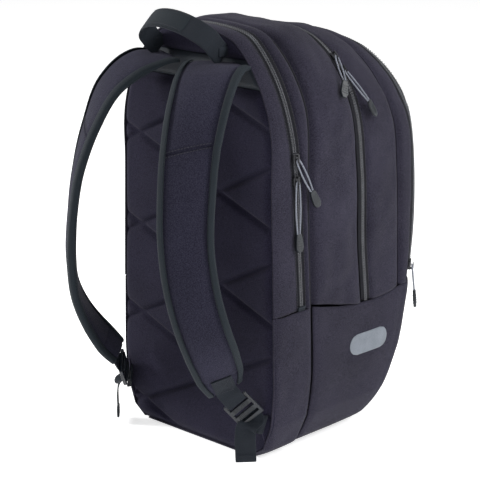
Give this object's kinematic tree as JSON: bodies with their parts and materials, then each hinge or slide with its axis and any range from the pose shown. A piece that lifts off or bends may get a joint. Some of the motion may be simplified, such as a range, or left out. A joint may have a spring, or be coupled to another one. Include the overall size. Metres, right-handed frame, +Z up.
{
  "type": "racket backpack",
  "caption": "Backpack for racket sports with padded quilted back, two shoulder straps, haul loop, arched zipped compartments and a front pocket.",
  "frame": {"origin": "Middle of the flat base, on the surface that the backpack stands on.", "axes": "+X to the wearer's left across the bag, -Y the harness side, +Y the front pocket, +Z up."},
  "size_m": [0.272, 0.3969, 0.5267],
  "materials": {
    "shell_fabric": "plain-weave polyester, slightly lustrous",
    "quilt": "quilted padded polyester",
    "webbing": "ribbed woven webbing",
    "zip_tape": "woven zip tape with coil",
    "lining": "smooth lining",
    "board": "stiff sheet",
    "acetal": "moulded acetal",
    "slider_metal": "black enamelled die casting",
    "pull_cord": "grey braided cord",
    "pull_rubber": "moulded rubber",
    "reflective": "grey reflective film"
  },
  "bodies": {
    "root": {"back_panel_pad": "quilt", "yoke_strip": "shell_fabric", "upper_yoke": "shell_fabric", "frame_sheet": "board", "laptop_sleeve": "lining", "rear_gusset": "shell_fabric", "rear_lower_gusset": "shell_fabric", "rear_zip_tape_back": "zip_tape", "rear_zip_tape_front": "zip_tape", "rear_band": "shell_fabric", "rear_divider": "lining", "main_gusset": "shell_fabric", "main_zip_tape_back": "zip_tape", "boot_side_right": "shell_fabric", "boot_side_left": "shell_fabric", "boot_front": "shell_fabric", "base_panel": "shell_fabric", "base_board": "board", "handle_anchors": "webbing", "strap_wing_right": "shell_fabric", "strap_wing_left": "shell_fabric", "reflective_patches": "reflective"},
    "front_section": {"main_zip_tape_front": "zip_tape", "front_gusset": "shell_fabric", "pocket_gusset": "shell_fabric", "pocket_zip_tape": "zip_tape", "pocket_sill": "shell_fabric", "pocket_inner_wall": "lining", "pocket_floor": "lining"},
    "pocket_flap": {"pocket_cover": "shell_fabric"},
    "carry_handle": {"haul_handle": "webbing"},
    "shoulder_strap_right": {"strap_pad_right": "shell_fabric", "strap_binding_right": "webbing", "strap_webbing_right": "webbing", "anchor_webbing_right": "webbing"},
    "lock_right": {"ladder_lock_right": "acetal"},
    "tail_right": {"webbing_tail_right": "webbing"},
    "shoulder_strap_left": {"strap_pad_left": "shell_fabric", "strap_binding_left": "webbing", "strap_webbing_left": "webbing", "anchor_webbing_left": "webbing"},
    "lock_left": {"ladder_lock_left": "acetal"},
    "tail_left": {"webbing_tail_left": "webbing"},
    "rear_lower_zip_slider": {"rear_lower_slider": "slider_metal"},
    "rear_lower_pull": {"rear_lower_pull_cord": "pull_cord", "rear_lower_pull_tip": "pull_rubber"},
    "rear_upper_zip_slider": {"rear_upper_slider": "slider_metal"},
    "rear_upper_pull": {"rear_upper_pull_cord": "pull_cord", "rear_upper_pull_tip": "pull_rubber"},
    "main_front_zip_slider": {"main_front_slider": "slider_metal"},
    "main_front_pull": {"main_front_pull_cord": "pull_cord", "main_front_pull_tip": "pull_rubber"},
    "main_back_zip_slider": {"main_back_slider": "slider_metal"},
    "main_back_pull": {"main_back_pull_cord": "pull_cord", "main_back_pull_tip": "pull_rubber"},
    "pocket_zip_slider": {"pocket_slider": "slider_metal"},
    "pocket_pull": {"pocket_pull_cord": "pull_cord", "pocket_pull_tip": "pull_rubber"}
  },
  "joints": [
    {"name": "main_compartment_opening", "type": "hinge", "parent": "root", "child": "front_section", "pos_m": [0, 0.182, 0.172], "axis": [-1, 0, 0], "range_deg": [0, 25]},
    {"name": "pocket_opening", "type": "hinge", "parent": "front_section", "child": "pocket_flap", "pos_m": [0, 0.182, 0.181], "axis": [-1, 0, 0], "range_deg": [0, 40]},
    {"name": "handle_swing", "type": "hinge", "parent": "root", "child": "carry_handle", "pos_m": [0, -0.086, 0.472], "axis": [1, 0, 0], "range_deg": [-18, 10]},
    {"name": "strap_lift_right", "type": "hinge", "parent": "root", "child": "shoulder_strap_right", "pos_m": [0.046, -0.083, 0.464], "axis": [-1, 0, 0], "range_deg": [0, 10]},
    {"name": "lock_tilt_right", "type": "hinge", "parent": "shoulder_strap_right", "child": "lock_right", "pos_m": [0.097, -0.11355, 0.08266], "axis": [0.5212, 0.5513, 0.6515], "range_deg": [-10, 10]},
    {"name": "tail_swing_right", "type": "hinge", "parent": "lock_right", "child": "tail_right", "pos_m": [0.109, -0.108, 0.05], "axis": [0.7195, 0.6945, 0], "range_deg": [-14, 14]},
    {"name": "strap_lift_left", "type": "hinge", "parent": "root", "child": "shoulder_strap_left", "pos_m": [-0.046, -0.083, 0.464], "axis": [-1, 0, 0], "range_deg": [0, 10]},
    {"name": "lock_tilt_left", "type": "hinge", "parent": "shoulder_strap_left", "child": "lock_left", "pos_m": [-0.097, -0.11355, 0.08266], "axis": [-0.5212, 0.5513, 0.6515], "range_deg": [-10, 10]},
    {"name": "tail_swing_left", "type": "hinge", "parent": "lock_left", "child": "tail_left", "pos_m": [-0.109, -0.108, 0.05], "axis": [-0.7195, 0.6945, 0], "range_deg": [-14, 14]},
    {"name": "rear_lower_zip_travel", "type": "slide", "parent": "root", "child": "rear_lower_zip_slider", "axis": [0.017, 0.0539, -0.9984], "range_m": [0, 0.14]},
    {"name": "rear_upper_zip_travel", "type": "slide", "parent": "root", "child": "rear_upper_zip_slider", "axis": [0.017, 0.0539, -0.9984], "range_m": [-0.012, 0]},
    {"name": "main_front_zip_travel", "type": "hinge", "parent": "front_section", "child": "main_front_zip_slider", "pos_m": [0.00533, 0.06, 0.36782], "axis": [0, 1, 0], "range_deg": [0, 9]},
    {"name": "main_back_zip_travel", "type": "hinge", "parent": "front_section", "child": "main_back_zip_slider", "pos_m": [0.00533, 0.06, 0.36782], "axis": [0, -1, 0], "range_deg": [0, 15]},
    {"name": "pocket_zip_travel", "type": "slide", "parent": "front_section", "child": "pocket_zip_slider", "axis": [0.026, 0.0559, 0.9981], "range_m": [0, 0.06]},
    {"name": "rear_lower_pull_lift", "type": "hinge", "parent": "rear_lower_zip_slider", "child": "rear_lower_pull", "pos_m": [0.1294, -0.0444, 0.335], "axis": [-0.1301, -0.9915, -0.0039], "range_deg": [0, 60]},
    {"name": "rear_upper_pull_lift", "type": "hinge", "parent": "rear_upper_zip_slider", "child": "rear_upper_pull", "pos_m": [0.1309, -0.0468, 0.361], "axis": [-0.0973, -0.8757, -0.4729], "range_deg": [0, 60]},
    {"name": "main_front_pull_lift", "type": "hinge", "parent": "main_front_zip_slider", "child": "main_front_pull", "pos_m": [0.107, 0.0604, 0.446], "axis": [0.2783, -0.9439, -0.1776], "range_deg": [0, 60]},
    {"name": "main_back_pull_lift", "type": "hinge", "parent": "main_back_zip_slider", "child": "main_back_pull", "pos_m": [0.0931, 0.0604, 0.4614], "axis": [-0.2808, -0.8625, 0.4209], "range_deg": [0, 60]},
    {"name": "pocket_pull_lift", "type": "hinge", "parent": "pocket_zip_slider", "child": "pocket_pull", "pos_m": [0.1288, 0.1678, 0.193], "axis": [0.5835, -0.8103, 0.0538], "range_deg": [0, 60]}
  ]
}
